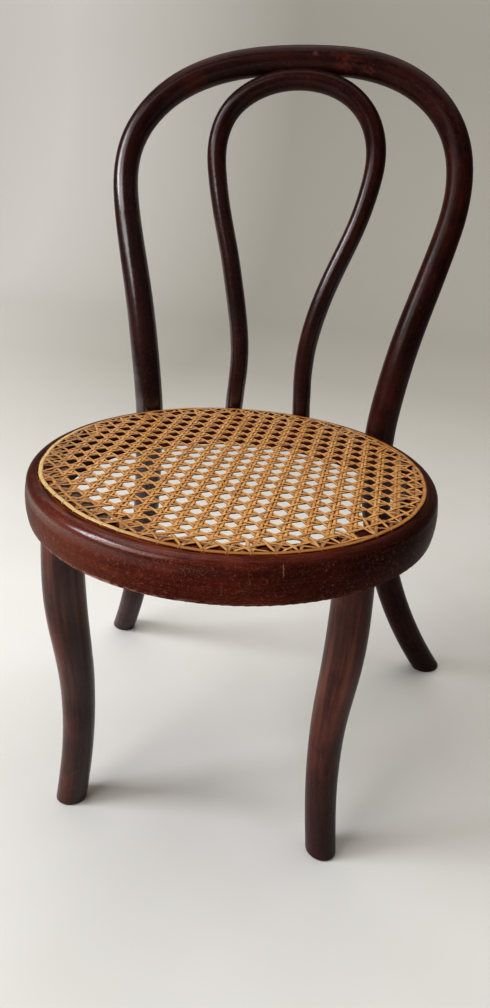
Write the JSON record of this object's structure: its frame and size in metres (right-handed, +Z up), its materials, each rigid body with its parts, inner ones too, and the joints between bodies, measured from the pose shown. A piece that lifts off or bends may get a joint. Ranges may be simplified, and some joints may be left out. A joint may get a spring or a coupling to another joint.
{
  "type": "miniature bentwood side chair",
  "caption": "Small bentwood side chair with a round hand-caned seat, a looped bent-rod back with an inner loop, curved front legs and splayed rear legs.",
  "frame": {"origin": "centre of the chair's bounding box, on the floor", "axes": "+Z up, -Y towards the front of the chair, +X towards its right as seen from the front"},
  "size_m": [0.2496, 0.2616, 0.4014],
  "materials": {
    "ring_wood": "dark red-brown stain, satin varnish, fine scratches",
    "outer_rod_wood": "dark red-brown stain, satin varnish, worn along the arch",
    "inner_rod_wood": "dark red-brown stain, satin varnish",
    "leg_wood": "dark red-brown stain, satin varnish, lighter red where rubbed",
    "woven_cane": "natural cane, woven, slightly glossy",
    "binder_cane": "natural cane, flat binder strip",
    "lacing_cane": "natural cane, narrow strand",
    "peg_wood": "plain wood, unstained",
    "screw_steel": "dull, aged"
  },
  "bodies": {
    "root": {"seat_ring": "ring_wood", "cane_panel": "woven_cane", "binder_cane": "binder_cane", "binder_lacing": "lacing_cane", "cane_hole_pegs": "peg_wood", "underside_cane_loops": "lacing_cane", "outer_back_hoop": "outer_rod_wood", "inner_back_hoop": "inner_rod_wood", "front_leg_left": "leg_wood", "front_leg_right": "leg_wood", "rear_post_screws": "screw_steel", "inner_hoop_screws": "screw_steel", "crown_screw": "screw_steel"}
  },
  "joints": []
}
